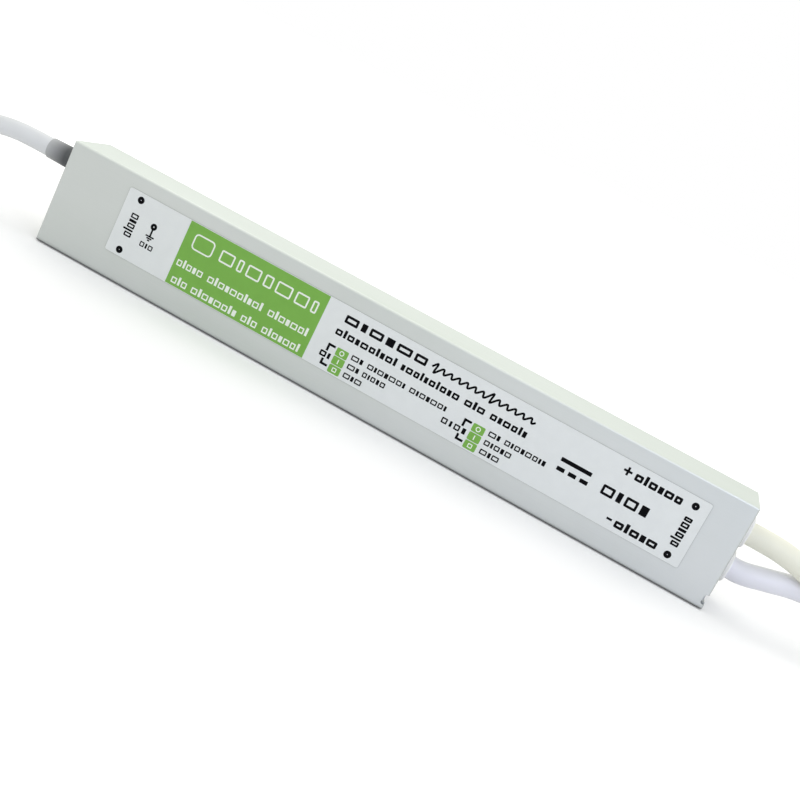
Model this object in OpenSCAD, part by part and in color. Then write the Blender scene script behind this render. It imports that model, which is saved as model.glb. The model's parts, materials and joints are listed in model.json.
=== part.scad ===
// Slim waterproof LED driver: a power supply potted inside an extruded aluminium tube.
// It stands on its narrow side. X runs along the tube towards the output end, the label
// faces -Y and Z is up. The origin is at the middle of the tube's underside. Millimetres.

/* [Housing] */
// Length of the extruded tube
housing_l = 205; // [190:1:240]
// Depth of the tube, from the label face to the back face
housing_d = 20; // [19:0.5:26]
// Height of the tube as it stands on its narrow side
housing_h = 30; // [29:0.5:40]
// Thickness of the tube's walls
wall = 1.4; // [1:0.1:1.8]
// Radius of the tube's four outer edges
edge_r = 0.6; // [0.3:0.1:1.2]
// Width of the broken outer edges at the tube's two sawn ends
deburr = 0.3; // [0.1:0.1:0.5]
// Radius of the tube's four inner corners
inner_r = 0.4; // [0.2:0.1:0.8]
// Thickness of the ribs that hold the front of the circuit board
rib_t = 1; // [0.8:0.1:1.4]
// How far the board ribs and ledges stand off the narrow walls
rib_h = 1.2; // [0.8:0.1:1.6]
// Depth of the nick in the label face's lower output corner
nick_depth = 1.2; // [0.6:0.1:2]
// Height of the nick along the end edge
nick_h = 2.8; // [1.5:0.1:4]
// Radius of the nick's upper bite
nick_upper_r = 1; // [0.5:0.1:1.2]
// Radius of the nick's lower bite
nick_lower_r = 0.7; // [0.4:0.1:1]
// Height of the middle of the nick above the underside
nick_z = 2.7; // [2.2:0.1:5]

/* [Label] */
// Length of the label
label_l = 174.7; // [120:0.1:180]
// Height of the label
label_h = 18.6; // [12:0.1:24]
// Thickness of the label
label_t = 0.15; // [0.1:0.05:0.3]
// Radius of the label's corners
label_r = 0.6; // [0.2:0.1:2]
// Distance of the label's middle from the tube's middle, towards the output end
label_x = 4.9; // [0:0.1:6]
// Height of the label's middle above the underside
label_z = 16.2; // [13:0.1:17]
// How far the label is stuck on askew, in degrees, dropping towards the output end
label_tilt = 0.27; // [0:0.01:0.6]

/* [End caps] */
// Thickness of each end cap
cap_t = 4; // [3:0.1:6]
// How far each end cap sits inside the tube's mouth
cap_recess = 0.6; // [0.2:0.1:1.5]
// Gap between an end cap and the tube
cap_clear = 0.1; // [0.05:0.05:0.2]
// Height and width of the raised rim round each cap's outer face
cap_rim = 0.4; // [0.2:0.1:0.6]

/* [Cords and bushes] */
// Diameter of the input cord's sheath
input_cord_d = 5.4; // [5.3:0.1:6.2]
// Diameter of each output lead's sheath
lead_d = 6.2; // [4:0.1:6.6]
// Distance of the input cord's exit below the tube's top
input_drop = 7.1; // [6:0.1:12]
// Distance between the two output leads' exits
lead_pitch = 10.2; // [9:0.1:11]
// Height of the middle of the output leads' exits above the tube's middle
leads_rise = 1.1; // [-2:0.1:2]
// Distance of all three exits behind the tube's middle plane
exit_y = 0; // [-1:0.1:1]
// Thickness of rubber round a cord at the bush's collar
collar_wall = 1.3; // [0.8:0.1:1.4]
// Thickness of rubber round a cord at the bush's neck
neck_wall = 0.7; // [0.5:0.1:0.8]
// How far each bush's collar stands out of the tube
collar_l = 1.6; // [0.8:0.1:2.4]
// Bevel round the outer edge of each collar
collar_bevel = 0.3; // [0.1:0.1:0.5]
// Length of the input bush's boot, past its collar
boot_l = 9.4; // [6:0.2:16]
// Thickness of rubber round the input cord at the boot's root
boot_wall = 0.4; // [0.3:0.05:0.6]
// Thickness of rubber round the input cord at the boot's tip
boot_tip_wall = 0.25; // [0.1:0.05:0.3]
// Thickness of the bush's foot behind the end cap
bush_foot_t = 1; // [0.6:0.1:1.5]
// Thickness of the input cord's sheath round its cores
sheath_wall = 0.6; // [0.4:0.05:0.65]
// Diameter of each insulated core of the input cord
input_core_d = 1.9; // [1.4:0.1:1.9]
// Diameter of each insulated core of the output leads
output_core_d = 3; // [2:0.1:4]
// Diameter of the tinned ends
tip_d = 1.2; // [0.8:0.1:1.5]
// Length of each insulated core past the end of its sheath
core_l = 18; // [10:1:30]
// Length of each tinned end
tip_l = 6; // [4:0.5:10]

/* [Circuit board] */
// Thickness of the circuit board
board_t = 1.6; // [1:0.1:2]
// Gap between the board and the tube's back wall
board_back = 1.6; // [1.2:0.1:2]
// Gap between the board and the ribs on either side of its edge
slot_clear = 0.1; // [0.05:0.05:0.2]
// Gap between the board's long edges and the tube
board_clear = 0.2; // [0.1:0.05:0.4]
// Room for wires between each end cap and the board
wire_room = 5; // [4.5:0.1:7]
// Thickness of the insulating film on the back wall
film_t = 0.4; // [0.2:0.1:0.8]
// Gap between a part of the upper or lower row and the ribs
row_clear = 0.4; // [0.2:0.1:0.8]
// Gap under the round parts that lie on the board
lift = 0.3; // [0.2:0.05:0.5]
// Diameter of the parts' round pins
pin_d = 0.8; // [0.6:0.1:0.9]
// Radius of the bend where a lying part's pin turns down to the board
pin_bend_r = 1; // [0.6:0.1:1.2]
// How far pins stand out behind the board
pin_tail = 0.6; // [0.3:0.1:0.7]
// Gap between a pin and its hole in the board
pin_clear = 0.15; // [0.1:0.05:0.25]
// Distance of the outermost pins from the ends of a part that stands on them
pin_inset = 1.5; // [1.2:0.1:2]
// Distance between the two pins of a disc or of a capacitor can
pin_pitch = 5; // [4:0.1:5]
// Distance between the legs along a chip's side
dip_pitch = 2.54; // [2:0.02:2.6]
// How far a chip's legs reach past its sides
dip_reach = 0.6; // [0.5:0.05:0.8]
// Width of a chip's legs
dip_leg_w = 0.6; // [0.4:0.1:0.8]
// Thickness of a chip's legs
dip_leg_t = 0.3; // [0.2:0.05:0.4]
// Diameter of the half round notch in a chip's end
dip_notch_d = 1.6; // [1:0.1:2]
// Depth of that notch
dip_notch_t = 0.5; // [0.3:0.1:1]
// Bevel round the ends of a capacitor can
can_bevel = 0.6; // [0.3:0.1:0.9]
// Distance of a can's rolled groove from the end that its pins leave
groove_in = 1.6; // [1:0.1:2.5]
// Width of the groove
groove_w = 1.4; // [0.8:0.1:2]
// Depth of the groove
groove_t = 0.6; // [0.3:0.1:0.9]
// Bevel round the rim of a dipped disc
disc_bevel = 0.9; // [0.4:0.1:1.3]

/* [Input parts] */
// Length of board taken by the soldered wires at each end
pads_l = 8; // [6:0.5:10]
// Distance between the input wires where they leave the bush
wire_pitch = 2.3; // [2.1:0.1:2.6]
// Radius of the bend in each wire
wire_bend_r = 3; // [2:0.1:3.5]
// Length of the fuse
fuse_l = 11; // [8:0.5:14]
// Diameter of the fuse's body
fuse_d = 4; // [3:0.1:4.6]
// Diameter of the fuse's metal caps
fuse_cap_d = 4.6; // [4.2:0.1:5.2]
// Length of each of the fuse's metal caps
fuse_cap_l = 2.4; // [1.5:0.1:3]
// Diameter of the inrush thermistor's disc
thermistor_d = 9; // [6:0.5:11]
// Thickness of the inrush thermistor's disc
thermistor_t = 4.2; // [3:0.1:6]
// Length of the mains filter capacitor, across the board
x_cap_l = 18; // [12:0.5:22]
// Width of the mains filter capacitor, along the board
x_cap_w = 8.5; // [6:0.5:10]
// Height of the mains filter capacitor
x_cap_h = 11; // [8:0.5:12.5]
// Diameter of the filter choke's ring core
ring_d = 13; // [10:0.5:15]
// Diameter of the ring core's hole
ring_bore = 6.5; // [5.5:0.5:8]
// Thickness of the ring core
ring_t = 6; // [4:0.5:8]
// Thickness of each winding on the ring core
ring_wire = 1.1; // [0.8:0.1:1.3]
// Angle that each winding covers
ring_angle = 130; // [90:5:150]
// Angle between a winding's end and its pin
ring_pin_angle = 12; // [8:1:20]
// Width of the bridge rectifier, across the board
bridge_w = 14.5; // [10:0.5:18]
// Thickness of the bridge rectifier, along the board
bridge_t = 3.8; // [3:0.1:5]
// Height of the bridge rectifier
bridge_h = 10.5; // [8:0.5:12]
// Bevelled corner of the bridge rectifier
bridge_bevel = 2.6; // [1.5:0.1:3.5]

/* [Conversion parts] */
// Diameter of the bulk capacitor
bulk_d = 10; // [8:0.5:12.5]
// Length of the bulk capacitor
bulk_l = 30; // [24:0.5:34]
// Diameter of the snubber resistor
resistor_d = 4.2; // [3:0.1:5]
// Length of the snubber resistor
resistor_l = 11; // [8:0.5:12]
// Length of each of the snubber resistor's thicker ends
resistor_end_l = 2.4; // [1.5:0.1:3]
// How far the snubber resistor's middle is thinner, all round
resistor_waist = 0.35; // [0.2:0.05:0.5]
// Length of the controller chip
chip_l = 9.6; // [6:0.2:11]
// Width of the controller chip
chip_w = 6.4; // [5:0.2:7]
// Height of the controller chip
chip_h = 3.4; // [2:0.1:4]
// Width of the two power packages
package_w = 10.2; // [9:0.1:11]
// Length of the moulded body of each power package
package_l = 9.2; // [8:0.1:10]
// Thickness of each power package
package_t = 4.5; // [4:0.1:5]
// Length of the metal tab past the moulded body
tab_l = 6.3; // [5:0.1:7]
// Thickness of the metal tab
tab_t = 1.3; // [1:0.1:1.6]
// Diameter of the hole in the metal tab
tab_hole_d = 3.6; // [3:0.1:4]
// Width of each leg of a power package
leg_w = 0.9; // [0.6:0.1:1.2]
// Thickness of each leg of a power package
leg_t = 0.6; // [0.4:0.1:0.8]
// Distance between the legs
leg_pitch = 2.54; // [2:0.02:3]
// How far the legs run before they bend to the board
leg_out = 2.5; // [1.5:0.1:3]
// Thickness of the thermal pads on the label wall
pad_t = 0.8; // [0.4:0.1:1.2]
// How far a thermal pad reaches past its package
pad_margin = 0.8; // [0.2:0.1:1.2]
// Length of the transformer's ferrite core, along the board
ferrite_l = 20; // [18:0.5:22]
// Width of the ferrite core, across the board
ferrite_w = 20; // [19:0.5:22]
// Thickness of the ferrite core
ferrite_t = 6; // [5:0.5:7]
// Width of the ferrite core's middle leg
middle_leg = 5.2; // [4:0.2:6]
// Width of each of the ferrite core's outer legs
outer_leg = 2.6; // [2:0.1:3]
// Thickness of the ferrite core's two backs
ferrite_back = 3.2; // [2.5:0.1:4]
// Thickness of the bobbin's hub and flanges
bobbin_wall = 0.9; // [0.6:0.1:1.1]
// How far the bobbin's flanges stand past the winding
flange_rim = 0.2; // [0.1:0.1:0.5]
// Gap between the bobbin and the ferrite core
bobbin_clear = 0.15; // [0.1:0.05:0.25]
// Thickness of the taped winding on the bobbin's hub
winding_t = 1.5; // [1.2:0.1:1.8]

/* [Output parts] */
// Length of the optocoupler, along the board
opto_l = 4.6; // [4:0.1:6]
// Width of the optocoupler
opto_w = 6.5; // [6:0.1:8]
// Height of the optocoupler
opto_h = 3.6; // [3:0.1:5]
// Diameter of the safety capacitor's disc
y_cap_d = 8; // [6:0.5:10]
// Thickness of the safety capacitor's disc
y_cap_t = 3.6; // [3:0.1:4.5]
// Diameter of the output capacitors
out_cap_d = 10; // [8:0.5:11]
// Length of the output capacitors
out_cap_l = 17; // [12:0.5:20]
// Diameter of the output choke's drum core
drum_d = 8.5; // [7:0.5:10]
// Height of the drum core
drum_h = 10; // [8:0.5:12]
// Diameter of the drum core's waist
drum_waist_d = 4; // [3:0.1:5]
// Thickness of the drum core's two flanges
drum_flange_t = 1.4; // [1:0.1:2]
// How far the drum's winding stays inside its flanges
drum_inset = 0.5; // [0.2:0.1:1]

/* [Hidden] */
$fn = 48;

// Cutting solids run this far past the faces that they cut
past = 1;
// Sides of a cord's tube
cord_sides = 12;

// Inside of the tube
inner_d = housing_d - 2 * wall;
inner_h = housing_h - 2 * wall;
mid_z = housing_h / 2;
front_in = -housing_d / 2 + wall;
input_z = housing_h - input_drop;
positive_z = mid_z + leads_rise + lead_pitch / 2;
negative_z = mid_z + leads_rise - lead_pitch / 2;
back_in = housing_d / 2 - wall;

// Circuit board in its slot
board_back_y = back_in - board_back;
board_y = board_back_y - board_t;
board_w = inner_h - 2 * board_clear;
board_l = housing_l - 2 * (cap_recess + cap_t + wire_room);
slot_front_y = board_y - slot_clear;
slot_back_y = board_back_y + slot_clear;

// End caps and the potting between them
cap_out_x = housing_l / 2 - cap_recess;
cap_in_x = cap_out_x - cap_t;
collar_x = housing_l / 2 + collar_l;

// Stations along the board, each as long as its longest part, with equal gaps between them
pin_room = pin_bend_r + pin_d / 2;
stations = [
    ["input pads", pads_l], ["fuse", max(fuse_l + 2 * pin_room, thermistor_t)],
    ["x capacitor", x_cap_w], ["filter choke", ring_d + 2 * ring_wire], ["bridge", bridge_t],
    ["bulk capacitor", bulk_l + pin_room], ["transistor", package_w + 2 * pad_margin],
    ["transformer", ferrite_l], ["optocoupler", max(opto_l, y_cap_t)],
    ["diode", package_w + 2 * pad_margin], ["output capacitors", out_cap_l + pin_room],
    ["output choke", drum_d], ["output pads", pads_l]
];
function length_before(n) = n == 0 ? 0 : stations[n - 1][1] + length_before(n - 1);
station_gap = (board_l - length_before(len(stations))) / (len(stations) - 1);
function station_x(name) = let (n = search([name], stations)[0])
    -board_l / 2 + length_before(n) + n * station_gap + stations[n][1] / 2;

// Middle of a part of width w in the row along the upper or the lower ribs
function upper_row(w) = mid_z + inner_h / 2 - rib_h - row_clear - w / 2;
function lower_row(w) = mid_z - inner_h / 2 + rib_h + row_clear + w / 2;

// Middles of the parts that share a station with others
fuse_x = station_x("fuse");
fuse_z = upper_row(fuse_cap_d);
bulk_x = station_x("bulk capacitor") + pin_room / 2;
bulk_z = upper_row(bulk_d);
chip_x = station_x("bulk capacitor") - (bulk_l + pin_room - chip_l) / 2;
chip_z = lower_row(chip_w + 2 * dip_reach);
resistor_x = bulk_x + (bulk_l - resistor_l) / 2 - pin_room;
resistor_z = lower_row(resistor_d);
opto_x = station_x("optocoupler");
opto_z = lower_row(opto_w + 2 * dip_reach);
out_cap_x = station_x("output capacitors") - pin_room / 2;
out_cap_rows = [upper_row(out_cap_d), lower_row(out_cap_d)];

// Transformer heights, from the board towards the label wall
ferrite_window_l = ferrite_l - 2 * ferrite_back;
ferrite_window_w = (ferrite_w - middle_leg - 2 * outer_leg) / 2;
bobbin_l = ferrite_window_l - 2 * bobbin_clear;
hub_w = middle_leg + 2 * (bobbin_clear + bobbin_wall);
hub_h = ferrite_t + 2 * (bobbin_clear + bobbin_wall);
flange_w = middle_leg + 2 * (ferrite_window_w - bobbin_clear);
winding_w = hub_w + 2 * winding_t;
winding_h = hub_h + 2 * winding_t;
flange_h = winding_h + 2 * flange_rim;
ferrite_mid_y = board_y - flange_h / 2;
bobbin_foot_h = (flange_h - ferrite_t) / 2 - bobbin_clear;
transformer_x = station_x("transformer");

// Power packages stand with their tabs on the thermal pads of the label wall
pad_y = front_in + pad_t;
package_z = mid_z - (package_l + tab_l) / 2;

// Places of pins, legs and wire ends on the board, as [along, up]
function spread(n, pitch) = [for (k = [0:n - 1]) (k - (n - 1) / 2) * pitch];
function pins_across(x, z, n, pitch) = [for (s = spread(n, pitch)) [x, z + s]];
function axial_pins(x, z, l) = [for (s = spread(2, l + 2 * pin_bend_r)) [x + s, z]];
function can_pins(x, z, l, side) = pins_across(x + side * (l / 2 + pin_bend_r), z, 2, pin_pitch);
function dip_row(l) = spread(floor((l - dip_leg_w) / dip_pitch) + 1, dip_pitch);
function dip_legs(x, z, l, w) = [for (s = dip_row(l), side = [-1, 1])
    [x + s, z + side * (w / 2 + dip_reach - dip_leg_t / 2)]];
function package_legs(x) = [for (s = spread(3, leg_pitch)) [x + s, package_z - leg_out + leg_t / 2]];
fuse_pins = axial_pins(fuse_x, fuse_z, fuse_l);
thermistor_pins = pins_across(fuse_x, lower_row(thermistor_d), 2, pin_pitch);
x_cap_pins = pins_across(station_x("x capacitor"), mid_z, 2, x_cap_l - 2 * pin_inset);
ring_pins = [for (a = [-1, 1], turn = [0, 180])
    let (angle = turn + a * (ring_angle / 2 - ring_pin_angle), r = (ring_d + ring_bore) / 4)
        [station_x("filter choke") + r * cos(angle), mid_z + r * sin(angle)]];
bridge_pins = pins_across(station_x("bridge"), mid_z, 4, (bridge_w - 2 * pin_inset) / 3);
bulk_pins = can_pins(bulk_x, bulk_z, bulk_l, -1);
resistor_pins = axial_pins(resistor_x, resistor_z, resistor_l);
foot_x = (ferrite_l + bobbin_l - 2 * bobbin_wall) / 4;
transformer_pins = [for (side = [-1, 1])
    each pins_across(transformer_x + side * foot_x, mid_z, 4, (ferrite_w - 2 * pin_inset) / 3)];
y_cap_pins = pins_across(opto_x, upper_row(y_cap_d), 2, pin_pitch);
out_cap_pins = [for (z = out_cap_rows) each can_pins(out_cap_x, z, out_cap_l, 1)];
drum_pins = pins_across(station_x("output choke"), mid_z, 2, drum_d - 2 * pin_inset);
input_ends = pins_across(station_x("input pads"), input_z, 3, wire_pitch);
output_ends = [for (z = [positive_z, negative_z]) [station_x("output pads"), z]];

// Cord routes, measured from the bush's face: outwards, backwards and up
input_route = [
    [0, 0, 0], [5, 0, 0], [12, 0, -0.3], [19, 0.2, -1.6], [26, 0.8, -4.2], [33, 1.6, -7.6],
    [40, 2.4, -11.4], [47, 3, -14.8], [54, 3.2, -17.6], [61, 3, -19.4], [68, 2.4, -20.1],
    [76, 1.4, -20.2], [85, 0.2, -20.2], [94, -1, -20.2], [103, -1.5, -20.2], [112, -1.5, -20.2]
];
positive_route = [
    [0, 0, 0], [3, 0, 0], [10, -0.2, -0.3], [17, -0.8, -1.6], [24, -1.8, -4],
    [31, -2.8, -7.2], [38, -3.4, -10.8], [45, -3.8, -14.2], [52, -4, -16.8],
    [60, -4.2, -18], [68, -4.4, -18.1], [77, -4.6, -18.1], [86, -5, -18.1], [95, -5.2, -18.1],
    [105, -5.2, -18.1], [115, -5.2, -18.1], [122, -5.2, -18.1]
];
negative_route = [
    [0, 0, 0], [3, 0, 0], [10, 0.9, 1.4], [17, 2.5, 2.7], [24, 4.1, 2.9], [31, 5.3, 2],
    [38, 5.9, 0.1], [45, 5.8, -2.5], [52, 5.4, -5.2], [60, 4.9, -7.3], [68, 4.5, -7.9],
    [77, 4.3, -7.9], [86, 4.5, -7.9], [95, 4.6, -7.9], [105, 4.6, -7.9], [115, 4.6, -7.9],
    [122, 4.6, -7.9]
];
input_exit = [-collar_x - boot_l, exit_y, input_z];
positive_exit = [collar_x, exit_y, positive_z];
negative_exit = [collar_x, exit_y, negative_z];
function along(exit, side, route) = [for (p = route) exit + [side * p[0], p[1], p[2]]];
input_path = along(input_exit, -1, input_route);
positive_path = along(positive_exit, 1, positive_route);
negative_path = along(negative_exit, 1, negative_route);
function end_of(path) = path[len(path) - 1];

// Places of the three input cores inside the sheath's end, as [back, up]
core_ring_r = (input_cord_d - input_core_d) / 2 - sheath_wall;
function core_place(angle) = [core_ring_r * cos(angle), core_ring_r * sin(angle)];
line_angle = 210;
neutral_angle = 330;
earth_angle = 90;

// Rectangle with round corners, centred
module round_rect(w, h, r) {
    square([w - 2 * r, h], center = true);
    square([w, h - 2 * r], center = true);
    for (x = [-1, 1], y = [-1, 1])
        translate([x * (w / 2 - r), y * (h / 2 - r)]) circle(r);
}

// Runs a YZ outline along X, from x0 over the length l
module along_x(x0, l) {
    translate([x0, 0, 0]) rotate([90, 0, 90]) linear_extrude(l) children();
}

// Box between two corners
module block(low, high) {
    translate(low) cube(high - low);
}

// Outline of the tube's hollow, in from its walls and ribs by c
module hollow(c) {
    difference() {
        translate([0, mid_z]) round_rect(inner_d - 2 * c, inner_h - 2 * c, inner_r);
        for (side = [-1, 1]) translate([0, mid_z + side * inner_h / 2]) {
            rib(slot_front_y - rib_t - c, slot_front_y + c);
            rib(slot_back_y - c, back_in + past);
        }
    }
    // Rib or ledge on a narrow wall, between two depths
    module rib(y0, y1) {
        translate([y0, -rib_h - c]) square([y1 - y0, 2 * (rib_h + c)]);
    }
}

module housing() color("#c8cccb") difference() {
    along_x(-housing_l / 2, housing_l) difference() {
        translate([0, mid_z]) round_rect(housing_d, housing_h, edge_r);
        hollow(0);
    }
    broken_edges();
    nick();
}

// Cuts that break the outer edges of the two sawn ends
module broken_edges() {
    cut = deburr * sqrt(2);
    for (side = [-1, 1], edge = [[0, housing_h], [90, housing_d], [180, housing_h], [270, housing_d]])
        translate([side * housing_l / 2, 0, mid_z]) rotate([edge[0], 0, 0])
            translate([0, 0, edge[1] / 2]) rotate([0, 45, 0])
                cube([cut, housing_d + housing_h, cut], center = true);
}

// Worn-in nick at the end of the label wall: two round bites, one over the other
module nick() {
    upper_z = nick_z + nick_h / 2 - nick_upper_r;
    lower_z = nick_z - nick_h / 2 + nick_lower_r;
    for (bite = [[nick_upper_r, upper_z], [nick_lower_r, lower_z]])
        translate([housing_l / 2 - nick_depth + bite[0], -housing_d / 2 - past, bite[1]])
            rotate([-90, 0, 0]) {
                cylinder(r = bite[0], h = wall + past);
                translate([0, -bite[0], 0]) cube([nick_depth + past, 2 * bite[0], wall + past]);
            }
    translate([housing_l / 2 - nick_depth / 2, -housing_d / 2 - past, lower_z])
        cube([nick_depth / 2 + past, wall + past, upper_z - lower_z]);
}

module label() color("#dadedd")
    translate([label_x, -housing_d / 2, label_z]) rotate([90, label_tilt, 0])
        linear_extrude(label_t) round_rect(label_l, label_h, label_r);

// Moulded plug that fills the tube's mouth, with a raised rim and a hole for each bush
module end_cap(side, exits_z, cord_d) {
    difference() {
        along_x(side > 0 ? cap_in_x : -cap_out_x, cap_t) hollow(cap_clear);
        translate([side * cap_out_x, 0, mid_z])
            cube([2 * cap_rim, inner_d - 2 * (cap_clear + cap_rim), inner_h - 2 * (rib_h + cap_rim)],
                center = true);
        for (z = exits_z) translate([0, exit_y, z]) rotate([0, side * 90, 0]) {
            translate([0, 0, cap_in_x - past])
                cylinder(d = cord_d + 2 * neck_wall, h = cap_t + 2 * past);
            translate([0, 0, cap_out_x - cap_rim])
                cylinder(d = cord_d + 2 * collar_wall, h = cap_rim + past);
        }
    }
}

module input_end_cap() color("#b9bcbc") end_cap(-1, [input_z], input_cord_d);

module output_end_cap() color("#b9bcbc") end_cap(1, [positive_z, negative_z], lead_d);

// Rubber bush moulded on a cord: foot behind the cap, neck in the cap and collar outside,
// with a boot of length boot along the cord where that isn't 0
module bush(side, z, cord_d, boot) {
    seat = cap_out_x - cap_rim;
    foot = cap_in_x - bush_foot_t;
    collar_r = cord_d / 2 + collar_wall;
    neck_r = cord_d / 2 + neck_wall;
    body = [
        [0, foot], [collar_r, foot], [collar_r, cap_in_x], [neck_r, cap_in_x], [neck_r, seat],
        [collar_r, seat], [collar_r, collar_x - collar_bevel], [collar_r - collar_bevel, collar_x]
    ];
    sleeve = [
        [cord_d / 2 + boot_wall, collar_x], [cord_d / 2 + boot_tip_wall, collar_x + boot],
        [0, collar_x + boot]
    ];
    translate([0, exit_y, z]) rotate([0, side * 90, 0]) rotate_extrude()
        polygon(concat(body, boot > 0 ? sleeve : [[0, collar_x]]));
}

module input_bush() color("#4b4d50") bush(-1, input_z, input_cord_d, boot_l);

module positive_bush() color("#d8d8d2") bush(1, positive_z, lead_d, 0);

module negative_bush() color("#d6d8e0") bush(1, negative_z, lead_d, 0);

// Tube swept along a path that never turns straight up or down
module tube(path, d) {
    last = len(path) - 1;
    function unit(v) = v / norm(v);
    function heading(i) = unit(path[min(i + 1, last)] - path[max(i - 1, 0)]);
    function across(i) = unit(cross([0, 0, 1], heading(i)));
    function ring(i) = [for (k = [0:cord_sides - 1]) let (a = 360 * k / cord_sides)
        path[i] + d / 2 * (cos(a) * across(i) + sin(a) * cross(heading(i), across(i)))];
    points = [for (i = [0:last]) each ring(i)];
    sides = [for (i = [0:last - 1], k = [0:cord_sides - 1]) let (n = (k + 1) % cord_sides)
        [i * cord_sides + k, (i + 1) * cord_sides + k, (i + 1) * cord_sides + n, i * cord_sides + n]];
    ends = [[for (k = [0:cord_sides - 1]) k],
        [for (k = [cord_sides - 1:-1:0]) last * cord_sides + k]];
    polyhedron(points, concat(sides, ends), convexity = 6);
}

module input_cord() color("#b4b7ba") tube(input_path, input_cord_d);

module positive_lead() color("#dcdcd5") tube(positive_path, lead_d);

module negative_lead() color("#dcdde6") tube(negative_path, lead_d);

// Straight wire that starts at a path's end, off its axis by [back, up]
module end_wire(path, side, off, from, l, d) {
    translate(end_of(path) + [side * from, off[0], off[1]])
        rotate([0, side * 90, 0]) cylinder(d = d, h = l);
}

module input_line_core() color("#7a4a2c")
    end_wire(input_path, -1, core_place(line_angle), 0, core_l, input_core_d);

module input_neutral_core() color("#3b6fb5")
    end_wire(input_path, -1, core_place(neutral_angle), 0, core_l, input_core_d);

module input_earth_core() color("#8fae3a")
    end_wire(input_path, -1, core_place(earth_angle), 0, core_l, input_core_d);

module input_core_tips() color("#cfd2d4")
    for (angle = [line_angle, neutral_angle, earth_angle])
        end_wire(input_path, -1, core_place(angle), core_l, tip_l, tip_d);

module positive_core() color("#7a4a2c")
    end_wire(positive_path, 1, [0, 0], 0, core_l, output_core_d);

module negative_core() color("#3b6fb5")
    end_wire(negative_path, 1, [0, 0], 0, core_l, output_core_d);

module output_core_tips() color("#cfd2d4")
    for (path = [positive_path, negative_path])
        end_wire(path, 1, [0, 0], core_l, tip_l, tip_d);

// Holes through the board for pins of diameter d
module holes(places, d) {
    for (p = places) translate([p[0], board_y - past, p[1]]) rotate([-90, 0, 0])
        cylinder(d = d + 2 * pin_clear, h = board_t + 2 * past);
}

module circuit_board() color("#2f7d4a") difference() {
    block([-board_l / 2, board_y, mid_z - board_w / 2], [board_l / 2, board_back_y, mid_z + board_w / 2]);
    holes(concat(fuse_pins, thermistor_pins, x_cap_pins, ring_pins, bridge_pins, bulk_pins,
        resistor_pins, transformer_pins, y_cap_pins, out_cap_pins, drum_pins), pin_d);
    holes(concat(dip_legs(chip_x, chip_z, chip_l, chip_w), dip_legs(opto_x, opto_z, opto_l, opto_w)),
        norm([dip_leg_w, dip_leg_t]));
    holes(concat(package_legs(station_x("transistor")), package_legs(station_x("diode"))),
        norm([leg_w, leg_t]));
    holes(concat(input_ends, output_ends), tip_d);
}

module insulating_film() color("#efe9d2")
    block([-board_l / 2, back_in - film_t, mid_z - inner_h / 2 + rib_h + slot_clear],
        [board_l / 2, back_in, mid_z + inner_h / 2 - rib_h - slot_clear]);

// Round wire that comes along X from one side over the length l, bends and runs on along Y
module bent_wire(side, d, bend_r, l, depth) {
    translate([side * bend_r, 0, 0]) rotate([0, side * 90, 0]) cylinder(d = d, h = l);
    translate([side * bend_r, bend_r, 0]) mirror([side > 0 ? 0 : 1, 0, 0])
        rotate([0, 0, 180]) rotate_extrude(angle = 90) translate([bend_r, 0]) circle(d = d);
    translate([0, bend_r, 0]) rotate([-90, 0, 0]) cylinder(d = d, h = depth - bend_r);
}

// Insulated wire from a bush's foot to its place on the board, with a bare end through the board
module board_wire(side, place, d) {
    translate([place[0], exit_y, place[1]])
        bent_wire(side, d, wire_bend_r, cap_in_x - bush_foot_t - side * place[0] - wire_bend_r,
            board_y - exit_y);
    through_board(place, d, tip_d);
}

// Straight pin of diameter d from a height above the board, through it and out behind it
module through_board(place, from, d) {
    translate([place[0], board_y - from, place[1]]) rotate([-90, 0, 0])
        cylinder(d = d, h = from + board_t + pin_tail);
}

// Straight pins of a part that stands on them
module pins(places, from) {
    for (p = places) through_board(p, from, pin_d);
}

// Pin of a lying part that is on the given side of it, leaving the part's end at a height
module bent_pin(place, side, from) {
    translate([place[0], board_y - from, place[1]])
        bent_wire(side, pin_d, pin_bend_r, pin_d, from + board_t + pin_tail);
}

module input_wires() color("#7a4a2c")
    for (p = input_ends) board_wire(-1, p, input_core_d);

module output_wires() color("#3b6fb5")
    for (p = output_ends) board_wire(1, p, output_core_d);

// Cylinder whose axis runs along the board, in the row whose middle is at z
module lying(x, z, d, l) {
    translate([x - l / 2, board_y - lift - d / 2, z]) rotate([0, 90, 0]) cylinder(d = d, h = l);
}

// Solid of revolution that lies along the board, with its outline running towards the given side
module turned(x, z, d, l, side) {
    translate([x - side * l / 2, board_y - lift - d / 2, z]) rotate([0, side * 90, 0])
        rotate_extrude() children();
}

// Dipped disc on edge, with its two pins under it
module disc(x, z, d, t, places) {
    turned(x, z, d, t, 1) polygon([
        [0, 0], [d / 2 - disc_bevel, 0], [d / 2, disc_bevel], [d / 2, t - disc_bevel],
        [d / 2 - disc_bevel, t], [0, t]
    ]);
    pins(places, lift + d / 2);
}

// Capacitor can that lies on the board, with a rolled groove by the end that its pins leave
module can(x, z, d, l, side) {
    groove_l = l - groove_in;
    turned(x, z, d, l, side) polygon([
        [0, 0], [d / 2 - can_bevel, 0], [d / 2, can_bevel], [d / 2, groove_l - groove_w],
        [d / 2 - groove_t, groove_l - groove_w / 2], [d / 2, groove_l], [d / 2, l - can_bevel],
        [d / 2 - can_bevel, l], [0, l]
    ]);
    for (p = can_pins(x, z, l, side)) bent_pin(p, -side, lift + d / 2);
}

// Box on the board, l along it, w across it and h high
module on_board(x, z, l, w, h) {
    block([x - l / 2, board_y - h, z - w / 2], [x + l / 2, board_y, z + w / 2]);
}

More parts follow.
